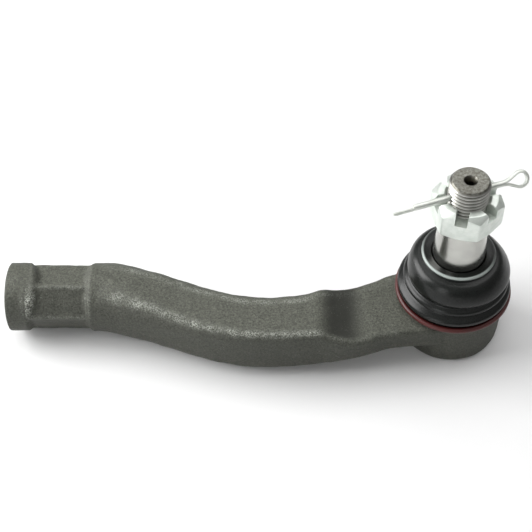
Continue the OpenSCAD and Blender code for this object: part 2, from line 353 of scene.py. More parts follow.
def combine(target: bpy.types.Object, tool: bpy.types.Object, way: Cut, sharp_deg: float = 35.0) -> None:
    """Joins tool to target, or removes it, and deletes tool.

    Args:
        target: The object that keeps the result.
        tool: The solid that is joined or removed.
        way: Which of the two.
        sharp_deg: Edges that turn by more than this stay sharp.
    """
    modifier = target.modifiers.new("combine", "BOOLEAN")
    modifier.operation = way.value
    modifier.solver = "EXACT"
    modifier.object = tool
    graph = bpy.context.evaluated_depsgraph_get()
    result = bpy.data.meshes.new_from_object(target.evaluated_get(graph))
    target.modifiers.remove(modifier)
    old, target.data = target.data, result
    name = old.name
    bpy.data.meshes.remove(old)
    result.name = name
    bpy.data.objects.remove(tool)
    tidy_mesh(result)
    finish_shading(result, sharp_deg)


def vertex_places(mesh: bpy.types.Mesh) -> np.ndarray:
    """A mesh's vertices in millimetres, as an array of shape (n, 3)."""
    flat = np.empty(len(mesh.vertices) * 3, np.float32)
    mesh.vertices.foreach_get("co", flat)
    return flat.reshape(-1, 3).astype(float) / MM


def move_vertices(mesh: bpy.types.Mesh, places: np.ndarray) -> None:
    """Puts a mesh's vertices at places, in millimetres."""
    mesh.vertices.foreach_set("co", (places * MM).astype(np.float32).ravel())
    mesh.update()


def vertex_normals(mesh: bpy.types.Mesh) -> np.ndarray:
    """A mesh's vertex normals, as an array of shape (n, 3)."""
    flat = np.empty(len(mesh.vertices) * 3, np.float32)
    mesh.vertex_normals.foreach_get("vector", flat)
    return flat.reshape(-1, 3).astype(float)


def paint(mesh: bpy.types.Mesh, name: str, values: np.ndarray) -> None:
    """Stores one number for each vertex as an attribute that a material can read."""
    layer = mesh.attributes.new(name, "FLOAT", "POINT")
    layer.data.foreach_set("value", values.astype(np.float32))


# --- finishes


class Graph:
    """A material's node tree, with short ways to add and join nodes."""

    def __init__(self, name: str) -> None:
        """Starts an empty material called name."""
        self.material = bpy.data.materials.new(name)
        self.material.use_nodes = True
        self.tree = self.material.node_tree
        self.tree.nodes.clear()
        self.places = self.add("ShaderNodeTexCoord").outputs["Object"]

    def add(self, kind: str, **settings: object) -> bpy.types.Node:
        """Adds a node of a kind and sets its properties."""
        node = self.tree.nodes.new(kind)
        for key, value in settings.items():
            setattr(node, key, value)
        return node

    def feed(self, socket: bpy.types.NodeSocket, value: object) -> None:
        """Links an output to a socket, or sets the socket's own value."""
        if isinstance(value, bpy.types.NodeSocket):
            self.tree.links.new(value, socket)
        else:
            socket.default_value = value

    def stretched(self, scale: tuple[float, float, float]) -> bpy.types.NodeSocket:
        """The object's coordinates, scaled along each axis."""
        mapping = self.add("ShaderNodeMapping")
        self.feed(mapping.inputs["Vector"], self.places)
        mapping.inputs["Scale"].default_value = scale
        return mapping.outputs["Vector"]

    def noise(self, size: float, detail: float = 3.0, rough: float = 0.55,
              where: bpy.types.NodeSocket | None = None) -> bpy.types.NodeSocket:
        """Cloudy noise whose blotches are about size millimetres wide."""
        node = self.add("ShaderNodeTexNoise")
        self.feed(node.inputs["Vector"], where or self.places)
        node.inputs["Scale"].default_value = 1.0 / (size * MM)
        node.inputs["Detail"].default_value = detail
        node.inputs["Roughness"].default_value = rough
        return node.outputs["Fac"]

    def pits(self, size: float) -> bpy.types.NodeSocket:
        """Distance to the nearest of scattered points about size millimetres apart."""
        node = self.add("ShaderNodeTexVoronoi")
        self.feed(node.inputs["Vector"], self.places)
        node.inputs["Scale"].default_value = 1.0 / (size * MM)
        return node.outputs["Distance"]

    def attribute(self, name: str) -> bpy.types.NodeSocket:
        """A number that was painted on the mesh's vertices."""
        return self.add("ShaderNodeAttribute", attribute_name=name).outputs["Fac"]

    def spread(self, value: bpy.types.NodeSocket, low: float, high: float,
               to_low: float = 0.0, to_high: float = 1.0) -> bpy.types.NodeSocket:
        """Maps low..high to to_low..to_high, and holds it there outside."""
        node = self.add("ShaderNodeMapRange")
        for socket, number in zip(list(node.inputs)[:5], (value, low, high, to_low, to_high)):
            self.feed(socket, number)
        return node.outputs["Result"]

    def sums(self, operation: str, a: object, b: object = 0.0) -> bpy.types.NodeSocket:
        """The result of one operation on two numbers, such as ADD or MULTIPLY."""
        node = self.add("ShaderNodeMath", operation=operation)
        self.feed(node.inputs[0], a)
        self.feed(node.inputs[1], b)
        return node.outputs[0]

    def mixed(self, share: bpy.types.NodeSocket, a: object, b: object) -> bpy.types.NodeSocket:
        """Colour a where share is 0 and colour b where it is 1."""
        node = self.add("ShaderNodeMix", data_type="RGBA")
        self.feed(node.inputs[0], share)
        self.feed(node.inputs[6], a if isinstance(a, bpy.types.NodeSocket) else (*a, 1.0))
        self.feed(node.inputs[7], b if isinstance(b, bpy.types.NodeSocket) else (*b, 1.0))
        return node.outputs[2]

    def coordinate(self, axis: str) -> bpy.types.NodeSocket:
        """One coordinate of the object's places, in metres."""
        node = self.add("ShaderNodeSeparateXYZ")
        self.feed(node.inputs[0], self.places)
        return node.outputs[axis]

    def axis_distance(self) -> bpy.types.NodeSocket:
        """Distance from the object's Z axis, in metres."""
        x, y = self.coordinate("X"), self.coordinate("Y")
        squares = self.sums("ADD", self.sums("MULTIPLY", x, x), self.sums("MULTIPLY", y, y))
        return self.sums("SQRT", squares)

    def bump(self, height: bpy.types.NodeSocket, depth: float,
             under: bpy.types.NodeSocket | None = None) -> bpy.types.NodeSocket:
        """A normal that follows a height of 0 to 1 over a depth in millimetres."""
        node = self.add("ShaderNodeBump")
        self.feed(node.inputs["Height"], height)
        node.inputs["Distance"].default_value = depth * MM
        if under is not None:
            self.feed(node.inputs["Normal"], under)
        return node.outputs["Normal"]

    def shade(self, **sockets: object) -> bpy.types.Material:
        """Ends the material with a Principled shader whose sockets take these values.

        Args:
            sockets: Socket names with underscores for spaces, and their values or links.

        Returns:
            The finished material.
        """
        shader = self.add("ShaderNodeBsdfPrincipled")
        for key, value in sockets.items():
            if key == "Base_Color" and isinstance(value, tuple):
                value = (*value, 1.0)
            self.feed(shader.inputs[key.replace("_", " ")], value)
        out = self.add("ShaderNodeOutputMaterial")
        self.feed(out.inputs["Surface"], shader.outputs[0])
        return self.material


Colour = tuple[float, float, float]


@dataclass(frozen=True)
class ForgedFinish:
    """Shot-blasted forging: dull olive grey, finely pitted, with bright specks on worn edges that also
    stand for their highlight.
    """

    name: str = "forged_steel"
    dark: Colour = (0.020, 0.021, 0.016)
    light: Colour = (0.160, 0.166, 0.133)
    tired: Colour = (0.056, 0.059, 0.046)
    speck: Colour = (0.44, 0.46, 0.41)
    metal: float = 0.15

    def material(self) -> bpy.types.Material:
        """Blotches and grain set the colour, painted shade darkens the step and the side walls, and the
        painted mask of worn edges and highlight lets the specks through."""
        g = Graph(self.name)
        grain = g.noise(0.72, 4.0, 0.8)
        streaks = g.noise(1.6, 3.0, 0.6, g.stretched((0.35, 1.0, 1.0)))
        blotch = g.spread(g.noise(9.0, 4.0, 0.6), 0.32, 0.68, 0.15, 0.55)
        tone = g.mixed(g.spread(grain, 0.34, 0.72), self.dark, self.light)
        blasted = g.mixed(g.sums("MULTIPLY", blotch, g.spread(streaks, 0.3, 0.7)), tone, self.tired)
        # Painted shade: the attribute read here darkens the colour towards the dark tone
        base = g.mixed(g.sums("MULTIPLY", g.attribute("stain"), 0.92), blasted, self.dark)
        # Bright specks: worn bare metal on the edges, laid where the edges catch the light, so partly a
        # painted highlight
        wear = g.attribute("wear")
        flecks = g.spread(g.noise(0.50, 2.0, 0.8), 0.44, 0.60)
        thin = g.spread(g.noise(4.0, 2.0, 0.5), 0.34, 0.60, 0.30, 1.0)
        shown = g.sums("MULTIPLY", g.sums("MULTIPLY", wear, flecks), thin)
        stray = g.sums("MULTIPLY", g.spread(g.noise(0.5, 2.0, 0.7), 0.66, 0.76), 0.35)
        colour = g.mixed(g.sums("MAXIMUM", shown, stray), base, self.speck)
        rough = g.spread(grain, 0.2, 0.8, 0.55, 0.75)
        coarse = g.bump(g.noise(1.6, 3.0, 0.6), 0.14)
        fine = g.bump(g.spread(g.pits(0.42), 0.0, 0.5), 0.06, coarse)
        return g.shade(Base_Color=colour, Metallic=self.metal, Roughness=rough, Normal=fine)


@dataclass(frozen=True)
class GroundFinish:
    """Turned and ground steel: bright, with fine rings round the axis, darker on its end face."""

    name: str = "ground_steel"
    bright: Colour = (0.53, 0.53, 0.50)
    dull: Colour = (0.40, 0.40, 0.375)
    end_face: Colour = (0.13, 0.125, 0.10)
    # Colour of the painted shade in the thread's roots and in the drilling
    grime: Colour = (0.075, 0.070, 0.055)
    tip_z: float = 62.0
    thread_z: tuple[float, float] = (45.0, 46.2)
    thread_r: tuple[float, float] = (6.85, 6.35)
    drilling_r: tuple[float, float] = (2.4, 1.7)
    turning_pitch: float = 0.28

    def material(self) -> bpy.types.Material:
        """Noise drawn out round Z makes the grinding rings; the end face shows turning marks, and
        painted shade darkens the thread's roots and the drilling."""
        g = Graph(self.name)
        rings = g.noise(0.16, 2.0, 0.5, g.stretched((0.02, 0.02, 1.0)))
        cloud = g.spread(g.noise(5.0, 3.0, 0.55), 0.35, 0.70)
        side = g.mixed(g.sums("MULTIPLY", cloud, 0.55), self.bright, self.dull)
        height = g.coordinate("Z")
        top = g.spread(height, (self.tip_z - 0.9) * MM, (self.tip_z - 0.15) * MM)
        spots = g.spread(g.noise(0.9, 4.0, 0.65), 0.35, 0.75, 0.0, 0.8)
        mottle = g.mixed(spots, self.end_face, self.dull)
        out = g.axis_distance()
        threaded = g.spread(height, *(z * MM for z in self.thread_z))
        # Painted shade: the thread's roots and the centre drilling are darkened towards the shade colour
        root = g.sums("MULTIPLY", g.spread(out, *(r * MM for r in self.thread_r)), threaded)
        bare = g.mixed(g.sums("MULTIPLY", root, 0.85), side, self.grime)
        hole = g.sums("MULTIPLY", g.spread(out, *(r * MM for r in self.drilling_r)), threaded)
        colour = g.mixed(hole, g.mixed(top, bare, mottle), self.grime)
        turned = g.sums("SINE", g.sums("MULTIPLY", out, FULL_TURN / (self.turning_pitch * MM)))
        marks = g.sums("MULTIPLY", g.spread(turned, -1.0, 1.0), top)
        rough_side = g.spread(rings, 0.3, 0.7, 0.15, 0.27)
        rough = g.sums("ADD", rough_side, g.sums("MULTIPLY", threaded, 0.16))
        grooves = g.bump(rings, 0.012)
        normal = g.bump(marks, 0.02, grooves)
        return g.shade(Base_Color=colour, Metallic=1.0, Roughness=rough, Normal=normal)


@dataclass(frozen=True)
class ZincFinish:
    """Passivated zinc plate: pale, faintly green, cloudy and finely grained."""

    name: str = "zinc_plate"
    pale: Colour = (0.78, 0.82, 0.775)
    shade: Colour = (0.60, 0.655, 0.60)
    rough_low: float = 0.30
    rough_high: float = 0.48
    metal: float = 0.75
    grain: float = 0.30

    def material(self) -> bpy.types.Material:
        """Clouds of two tones over a fine crystalline grain."""
        g = Graph(self.name)
        cloud = g.spread(g.noise(3.2, 4.0, 0.6), 0.32, 0.70)
        crystals = g.noise(self.grain, 3.0, 0.6)
        colour = g.mixed(g.sums("MULTIPLY", cloud, 0.8), self.pale, self.shade)
        rough = g.spread(crystals, 0.25, 0.75, self.rough_low, self.rough_high)
        dents = g.bump(g.noise(1.8, 2.0, 0.5), 0.05)
        normal = g.bump(crystals, 0.016, dents)
        return g.shade(Base_Color=colour, Metallic=self.metal, Roughness=rough, Normal=normal)


@dataclass(frozen=True)
class RubberFinish:
    """Moulded black rubber: satin, faintly cool, with mould texture and a trace of bloom."""

    name: str = "boot_rubber"
    deep: Colour = (0.0034, 0.0042, 0.0036)
    bloom: Colour = (0.0095, 0.0120, 0.0105)
    # Pale colour of the painted highlight along the lip's edge
    edge: Colour = (0.34, 0.38, 0.36)
    rough_low: float = 0.24
    rough_high: float = 0.36
    specular: float = 0.36

    def material(self) -> bpy.types.Material:
        """Bloom lies in clouds, faint rings follow the mould's turning, and a pale painted highlight
        lies along the lip's edge.
        """
        g = Graph(self.name)
        cloud = g.spread(g.noise(6.0, 4.0, 0.6), 0.40, 0.75)
        body = g.mixed(g.sums("MULTIPLY", cloud, 0.6), self.deep, self.bloom)
        # Painted highlight: the painted attribute mixes the pale edge colour in along the lip
        colour = g.mixed(g.attribute("wear"), body, self.edge)
        grain = g.noise(0.35, 3.0, 0.6)
        rough = g.spread(grain, 0.25, 0.75, self.rough_low, self.rough_high)
        rings = g.bump(g.noise(0.5, 2.0, 0.5, g.stretched((0.06, 0.06, 1.0))), 0.012)
        normal = g.bump(grain, 0.018, rings)
        return g.shade(Base_Color=colour, Roughness=rough, Specular_IOR_Level=self.specular,
                       Normal=normal)


@dataclass(frozen=True)
class CoatedFinish:
    """A coloured coat over metal or plastic: clouds of two tones, and a light orange peel."""

    name: str
    tone: Colour
    second: Colour
    rough_low: float = 0.35
    rough_high: float = 0.55
    metal: float = 0.0
    peel: float = 0.02
    grain: float = 0.5

    def material(self) -> bpy.types.Material:
        """Two tones in clouds, with a roughness and a bump from the same fine grain."""
        g = Graph(self.name)
        cloud = g.spread(g.noise(2.6, 4.0, 0.6), 0.35, 0.70)
        colour = g.mixed(cloud, self.tone, self.second)
        grain = g.noise(self.grain, 3.0, 0.6)
        rough = g.spread(grain, 0.25, 0.75, self.rough_low, self.rough_high)
        normal = g.bump(grain, self.peel)
        return g.shade(Base_Color=colour, Metallic=self.metal, Roughness=rough, Normal=normal)


# --- the forging


@dataclass
class Forging:
    """The forged arm, its threaded socket and its ball housing, as one solid."""

    socket_end: float = field(default_factory=lambda: node_span("forged_body", 0)[0])
    floor: float = field(default_factory=lambda: node_span("forged_body", 2)[0])
    socket_height: float = -2.0
    socket_radius: float = 12.7
    end_round: float = 1.2
    bore_radius: float = 8.0
    bore_depth: float = 40.0
    bore_chamfer: float = 0.6
    drill_tip: float = 4.8
    wrench_across: float = 21.0
    wrench_roll: float = -40.0
    wrench_sharpness: float = 90.0
    wrench_start: float = 9.2
    wrench_end: float = 28.0
    wrench_slopes: tuple[float, float] = (1.0, 0.8)
    upper_shift: float = 3.6
    socket_overlap: float = 2.5
    socket_fall: float = 0.9
    housing_radius: float = 19.0
    shoulder: float = 4.1
    seat_radius: float = 17.6
    mouth_radius: float = 12.6
    cavity_radius: float = 15.2
    cavity_roof: float = 6.6
    mouth: float = 9.0
    cap_radius: float = 16.4
    cap_low: float = -14.4
    cap_high: float = -13.1
    foot_round: float = 2.6
    fillet: float = 3.2
    columns: int = 176
    finish: ForgedFinish = ForgedFinish()

    SHARP_DEG = 38.0
    # Where along X the ridges' bright specks come in, thin and end, and where the step's painted shade
    # does
    WEAR_STARTS, WEAR_THINS, WEAR_ENDS = (-132.0, -118.0), (-50.0, -42.0), (-22.0, -16.0)
    SCALE_STARTS, SCALE_ENDS = (-49.0, -43.5), (-39.0, -31.0)
    # The skin's rolls: depth, width and seed
    ROLLS = ((0.07, 5.0, 3), (0.03, 1.7, 4))
    ROLLS_SINK = 0.10
    # One row for each station along X: x, front y, rear y, top z, bottom z, corner radius.
    STATIONS = np.array([
        [-129.5, -12.4, 12.4, 10.3, -14.3, 12.2],
        [-123, -13.5, 12.1, 10.6, -14.7, 11.6],
        [-110, -16.4, 7.4, 9.5, -13.7, 8.2],
        [-100, -19.5, 3.2, 8.7, -13.1, 6.2],
        [-88, -23.1, -1.6, 8.3, -12.8, 4.8],
        [-77, -25.0, -4.7, 8.2, -12.7, 3.9],
        [-66, -25.4, -5.7, 8.2, -12.6, 3.5],
        [-54, -24.9, -4.2, 8.2, -11.9, 3.5],
        [-48, -24.5, -2.0, 7.9, -10.9, 3.1],
        [-42, -24.8, -0.3, 5.3, -9.0, 2.8],
        [-36.5, -24.6, 1.4, 3.9, -7.3, 2.5],
        [-30, -22.8, 3.9, 3.9, -6.7, 2.4],
        [-24, -20.9, 7.0, 3.8, -6.4, 2.4],
        [-16, -19.6, 9.8, 3.8, -6.4, 2.4],
        [-8, -19.0, 11.5, 3.8, -6.4, 2.4],
        [-2, -18.2, 11.5, 3.6, -6.4, 2.4],
    ])

    def section_at(self, x: np.ndarray) -> np.ndarray:
        """Front, rear, top, bottom and corner of the arm at each x.

        A Catmull-Rom curve runs through the stations with one step for each pair, and is read
        off where it passes each x.
        """
        s = self.STATIONS
        padded = np.vstack([s[:1], s, s[-1:]])
        t = np.linspace(0.0, 1.0, 13)[:-1, None, None]
        p0, p1, p2, p3 = (padded[k : len(s) - 1 + k] for k in range(4))
        curve = 0.5 * (2 * p1 + (p2 - p0) * t + (2 * p0 - 5 * p1 + 4 * p2 - p3) * t**2
                       + (3 * p1 - p0 - 3 * p2 + p3) * t**3)
        curve = np.vstack([curve.transpose(1, 0, 2).reshape(-1, 6), s[-1:]])
        return np.stack([np.interp(x, curve[:, 0], curve[:, k]) for k in range(1, 6)], axis=1)

    def arm_rows(self) -> np.ndarray:
        """Places of the rings along X, closer together where the shape turns quickly."""
        marks = np.array([self.end_round + 0.2, 4.6, 9.2, 24.4, 30.6, 36, 140, 151, 158.5])
        spacing = np.array([0.8, 0.4, 0.8, 0.45, 0.6, 0.95, 0.75, 0.5])
        parts = [np.arange(a, b, step) for a, b, step in zip(marks[:-1], marks[1:], spacing)]
        return self.socket_end + np.append(np.concatenate(parts), marks[-1])

    def wrench_radius(self, x: np.ndarray, turn: np.ndarray) -> np.ndarray:
        """Radius of the socket with its hexagon: the round bar cut by the larger of the hexagon
        and a trough that slopes down at both ends."""
        along = x - self.socket_end
        flat = 0.5 * self.wrench_across
        above = np.clip(np.sin(turn - math.radians(15.0)), 0.0, 1.0) ** 2
        begins = self.wrench_start + self.upper_shift * above
        down = flat + (begins - along) * self.wrench_slopes[0]
        up = flat + (along - self.wrench_end) * self.wrench_slopes[1]
        trough = np.maximum(np.maximum(down, up), flat)
        # A ring angle of 0 points along +Y and 90 along +Z
        flats = turn - math.radians(90.0 + self.wrench_roll)
        hexagon = hexagon_radius(flats, self.wrench_across, self.wrench_sharpness)
        return soft_min(soft_max(hexagon, trough, 0.35), self.socket_radius, 0.5)

    def fillet_rise(self, points: np.ndarray, turn: np.ndarray) -> np.ndarray:
        """How far the arm's skin swells to meet the housing in a fillet.

        With d the distance to the housing's wall and R the fillet, the swell is
        R - sqrt(R^2 - (R - d)^2) within R of the wall, on the rear and the underside only.
        """
        wall = np.hypot(points[..., 0], points[..., 1]) - self.housing_radius
        reach = np.clip(self.fillet - wall, 0.0, self.fillet)
        swell = self.fillet - np.sqrt(np.maximum(self.fillet**2 - reach**2, 0.0))
        rear = np.clip(np.cos(turn), 0.0, 1.0) ** 2
        under = np.clip(-np.sin(turn), 0.0, 1.0) ** 2
        return swell * (0.9 * rear + under * ease(-17.5, -9.0, points[..., 1]))

    def arm(self) -> bpy.types.Object:
        """The socket and the arm: rings about a centre line that bows towards -Y.

        Each ring's point lies at centre + radius(x, t) (cos t, sin t) in its own YZ plane. The
        socket's radius falls away past its end, so the arm's own section takes over.
        """
        x = self.arm_rows()[:, None]
        turn = full_circle(self.columns)
        front, rear, top, bottom, corner = self.section_at(x[:, 0]).T[:, :, None]
        begins = self.STATIONS[0, 0]
        arm_r = box_radius(turn, ((rear - front) / 2, (top - bottom) / 2), corner)
        past_socket = np.clip(x - (begins + self.socket_overlap), 0.0, None)
        socket_r = self.wrench_radius(x, turn) - self.socket_fall * past_socket
        in_socket = x < begins
        radius = np.where(in_socket, socket_r, soft_max(arm_r, socket_r, 0.5))
        middle_y = np.where(in_socket, 0.0, (front + rear) / 2)
        middle_z = np.where(in_socket, self.socket_height, (top + bottom) / 2)
        rings = rings_about_x(x, radius, turn, middle_y, middle_z)
        swell = self.fillet_rise(rings, turn)
        rings[..., 1] += swell * np.cos(turn)
        rings[..., 2] += swell * np.sin(turn)
        rings = np.concatenate([self.socket_mouth(turn), rings, closing_ring(rings[-1])])
        return make_object("forging", [Shell.from_rings(rings)], self.SHARP_DEG)

    def socket_mouth(self, turn: np.ndarray) -> np.ndarray:
        """Rings from the drilled tip out along the bore, over the mouth and round the rim."""
        end = self.socket_end
        outline = np.array([
            [end + self.bore_depth + self.drill_tip, 0.0], [end + self.bore_depth, self.bore_radius],
            [end + self.bore_chamfer, self.bore_radius], [end, self.bore_radius + self.bore_chamfer],
            [end, self.socket_radius], [end + self.end_round, self.socket_radius],
        ])
        outline = round_corners(outline, np.array([0.1, 0.1, 0.15, self.end_round]), 6)
        return rings_about_x(outline[:, :1], outline[:, 1:], turn, 0.0, self.socket_height)

    def housing(self) -> bpy.types.Object:
        """The outside of the ball housing, a turned solid with no cavity yet."""
        foot = self.housing_radius - 0.5
        outline = np.array([
            [0.0, self.floor], [foot, self.floor], [self.housing_radius, self.shoulder],
            [self.seat_radius, self.shoulder], [self.seat_radius, self.mouth], [0.0, self.mouth],
        ])
        outline = round_corners(outline, np.array([self.foot_round, 0.7, 0.3, 0.7]), 9)
        return make_object("housing_blank", [Shell.turned(subdivide(outline, 1.6), 144)])

    def cavity(self) -> bpy.types.Object:
        """The space inside the housing, with the groove that holds the end cap."""
        below = self.floor - 1.0
        lip = 0.5 * (self.cavity_radius + self.cap_radius) - 0.6
        outline = np.array([
            [0.0, below], [lip + 1.2, below], [lip, self.cap_low + 0.02],
            [self.cap_radius, self.cap_low], [self.cap_radius, self.cap_high],
            [self.cavity_radius, self.cap_high],
            [self.cavity_radius, self.cavity_roof], [self.mouth_radius, self.cavity_roof],
            [self.mouth_radius, self.mouth - 1.2], [self.mouth_radius + 2.2, self.mouth + 1.0],
            [0.0, self.mouth + 1.0],
        ])
        return make_object("housing_cavity", [Shell.turned(outline, 120)])

    def wear(self, places: np.ndarray) -> np.ndarray:
        """Where bright specks show: the arm's two upper ridges, its lower front ridge, the
        edges of the wrench section, and the housing's foot, from 0 to 1. The specks are worn bare metal
        laid where those edges catch the light, so they are partly a painted highlight."""
        x, y, z = places.T
        front, rear, top, bottom, corner = self.section_at(x).T
        ridge = np.zeros_like(x)
        for side_y, side_z, share in ((front, top, 1.0), (rear - 2.4, top, 0.7), (front, bottom, 0.35)):
            inward_y = np.sign((front + rear) / 2 - side_y) * corner * 0.45
            inward_z = np.sign((top + bottom) / 2 - side_z) * corner * 0.15
            away = np.hypot(y - side_y - inward_y, z - side_z - inward_z)
            ridge = np.maximum(ridge, share * np.exp(-(away / (0.8 + 0.12 * corner)) ** 2))
        ridge *= ease(*self.WEAR_STARTS, x) * (1.0 - 0.75 * ease(*self.WEAR_THINS, x))
        ridge *= 1.0 - ease(*self.WEAR_ENDS, x)
        along = x - self.socket_end
        ramps = np.exp(-((along - self.wrench_start + 3.0) / 0.9) ** 2)
        ramps = np.maximum(ramps, np.exp(-((along - self.wrench_end - 2.4) / 0.9) ** 2))
        out = np.hypot(y, z - self.socket_height)
        around = np.degrees(np.arctan2(z - self.socket_height, y))
        # The wrench specks only show on the upper front, where those edges catch the light: partly a
        # painted highlight
        up_front = np.exp(-((around - 140.0) / 24.0) ** 2)
        ramps *= ease(self.socket_radius - 0.9, self.socket_radius - 0.3, out) * up_front
        on_wrench = (along > self.wrench_start - 1.5) * (along < self.wrench_end + 1.5)
        edge = 1.3 * ease(11.3, 11.8, out) * on_wrench * up_front
        foot = np.exp(-((z - self.floor - 0.9) / 0.7) ** 2) * (np.hypot(x, y) > 16.5) * (x > -20)
        return np.clip(0.85 * ridge + 0.4 * ramps + 0.9 * edge + 0.3 * foot, 0.0, 1.0)

    def stain(self, places: np.ndarray, out: np.ndarray) -> np.ndarray:
        """Where shade is painted: in the step down to the neck, and in part on every side wall.

        Args:
            places: The skin's vertices.
            out: Their normals.

        Returns:
            The painted shade at each vertex, from 0 to 1.
        """
        x, y, z = places.T
        front, _, top, _, _ = self.section_at(x).T
        # Painted shade in the step down to the neck, which faces away from the light
        hollow = ease(*self.SCALE_STARTS, x) * (1.0 - ease(*self.SCALE_ENDS, x))
        hollow = hollow * ease(-1.6, -0.2, z - top) * ease(0.6, 3.2, y - front)
        # Painted shade: every side wall is darkened by up to 0.41, the more it faces sideways
        walls = 0.41 * ease(0.40, 0.90, np.hypot(out[:, 0], out[:, 1]))
        return np.maximum(hollow, walls)

    def weather(self, mesh: bpy.types.Mesh) -> None:
        """Lets the forged skin roll by a few hundredths, away from machined faces."""
        places, out = vertex_places(mesh), vertex_normals(mesh)
        x, y, z = places.T
        from_bore = np.hypot(y, z - self.socket_height)
        machined = (x < self.socket_end + self.bore_depth + 6) & (from_bore < self.bore_radius + 1.2)
        machined |= (np.hypot(x, y) < self.seat_radius + 0.3) & (x > -20)
        machined |= x < self.socket_end + 0.05
        rolls = sum(depth * ripple(places, size, seed) for depth, size, seed in self.ROLLS)
        swing = np.where(machined, 0.0, rolls - self.ROLLS_SINK)
        move_vertices(mesh, places + out * swing[:, None])

    def build(self) -> bpy.types.Object:
        """Joins arm and housing, opens the cavity, and dresses the result."""
        body = self.arm()
        combine(body, self.housing(), Cut.JOIN, self.SHARP_DEG)
        combine(body, self.cavity(), Cut.REMOVE, self.SHARP_DEG)
        self.weather(body.data)
        places = vertex_places(body.data)
        paint(body.data, "wear", self.wear(places))
        paint(body.data, "stain", self.stain(places, vertex_normals(body.data)))
        body.data.materials.append(self.finish.material())
        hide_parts("forged_body")
        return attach(body, "housing")


@dataclass
class RodThread:
    """The screw thread inside the socket, a sleeve let into the bore's wall."""

    forging: Forging
    pitch: float = 1.5
    depth: float = 0.82
    sleeve: float = 0.3
    columns: int = 96
    rows_per_turn: int = 8
    finish: GroundFinish = GroundFinish("tapped_steel", (0.42, 0.42, 0.40), (0.30, 0.30, 0.28))

    def build(self) -> bpy.types.Object:
        """The inner wall is the bore's radius less the depth times the thread's flank."""
        f = self.forging
        start = f.socket_end + f.bore_chamfer + 0.1
        length = f.bore_depth - 6.0
        x = start + np.arange(0.0, length, self.pitch / self.rows_per_turn)[:, None]
        turn = full_circle(self.columns)
        flank = thread_flank((x - start) / self.pitch + turn / FULL_TURN)
        fade = ease(0.0, self.pitch, x - start)
        fade = fade * (1.0 - ease(length - 2 * self.pitch, length, x - start))
        radius = f.bore_radius - 0.01 - self.depth * flank * fade
        outer = np.full((1, self.columns), f.bore_radius + self.sleeve)
        radius = np.concatenate([outer, radius, outer, outer])
        x = np.concatenate([x[:1], x, x[-1:], x[:1]])
        rings = rings_about_x(x, radius, turn, 0.0, f.socket_height)
        made = make_object("rod_thread", [Shell.from_rings(rings)], 60.0)
        made.data.materials.append(self.finish.material())
        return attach(made, "housing")


# --- the ball stud


@dataclass
class BallStud:
    """Ball, neck, taper and screw thread in one turned piece, drilled for the cotter pin."""

    tip: float = field(default_factory=lambda: node_span("ball_stud", 2)[1])
    ball_low: float = field(default_factory=lambda: node_span("ball_stud", 2)[0])
    ball_radius: float = 12.5
    neck_radius: float = 6.5
    taper_radius: float = 9.5
    taper_start: float = 22.5
    taper_end: float = 43.7
    thread_radius: float = 7.0
    thread_depth: float = 0.80
    pitch: float = 1.5
    relief: float = 1.4
    hole_height: float = PIN_HEIGHT
    hole_radius: float = 1.7
    columns: int = 144
    finish: GroundFinish = GroundFinish()

    def lower_outline(self) -> np.ndarray:
        """Profile from the ball's flat up to the thread relief, the ball as an arc."""
        flat_r = math.sqrt(self.ball_radius**2 - self.ball_low**2)
        low = math.atan2(self.ball_low, flat_r)
        high = math.acos(self.neck_radius / self.ball_radius)
        arc = np.linspace(low, high, 40)
        ball = self.ball_radius * np.stack([np.cos(arc), np.sin(arc)], axis=1)
        small = self.taper_radius - (self.taper_end - self.taper_start) / 16.0
        relief = self.thread_radius - 1.0
        shank = np.array([
            [self.neck_radius, 18.0], [self.taper_radius, 21.0], [self.taper_radius, self.taper_start],
            [small, self.taper_end], [relief, self.taper_end], [relief, self.taper_end + self.relief],
        ])
        joined = np.vstack([ball[-1:], shank])
        shank = round_corners(joined, np.array([2.0, 0.8, 0.3, 0.5, 0.3]), 6)[1:]
        return np.vstack([[[0.0, self.ball_low]], ball, shank])

    def threaded_rings(self, turn: np.ndarray) -> np.ndarray:
        """Rings of the thread: radius R - depth (1 - flank), never outside the end chamfers."""
        low = self.taper_end + self.relief
        z = np.arange(low, self.tip - 0.05, self.pitch / 12)[:, None]
        flank = thread_flank(z / self.pitch - turn / FULL_TURN)
        radius = self.thread_radius - self.thread_depth * (1.0 - flank)
        entry = self.thread_radius - 1.0 + 1.2 * (z - low)
        leaving = self.thread_radius - 1.05 + 1.1 * (self.tip - z)
        return rings_about_z(np.minimum(radius, np.minimum(entry, leaving)), z, turn)

    def end_rings(self, turn: np.ndarray) -> np.ndarray:
        """Rings of the end face and of the centre drilling in it."""
        outline = np.array([
            [self.thread_radius - 1.0, self.tip], [2.35, self.tip], [1.25, self.tip - 1.9],
            [1.2, self.tip - 5.0], [0.0, self.tip - 5.8],
        ])
        outline = round_corners(outline, np.array([0.15, 0.1, 0.1]), 4)
        return rings_about_z(outline[:, :1], outline[:, 1:], turn)

    def pin_hole(self) -> bpy.types.Object:
        """A round bar along the cotter pin's line, which cuts its hole."""
        r, half = self.hole_radius, 10.0
        bar = Shell.turned(np.array([[0.0, -half], [r, -half], [r, half], [0.0, half]]), 40)
        towards = Vector(joint_axis("pin_pull")).to_track_quat("Z", "Y").to_matrix()
        places = bar.points @ np.array(towards).T + [0.0, 0.0, self.hole_height]
        return make_object("pin_hole", [Shell(places, bar.quads)])

    def build(self) -> bpy.types.Object:
        """Turns the stud, cuts its thread and drills it."""
        turn = full_circle(self.columns)
        outline = self.lower_outline()
        lower = rings_about_z(outline[:, :1], outline[:, 1:], turn)
        rings = np.concatenate([lower, self.threaded_rings(turn), self.end_rings(turn)])
        made = make_object("stud", [Shell.from_rings(rings)], 32.0)
        combine(made, self.pin_hole(), Cut.REMOVE, 32.0)
        made.data.materials.append(self.finish.material())
        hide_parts("ball_stud")
        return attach(made, "stud")


# --- nut and pin


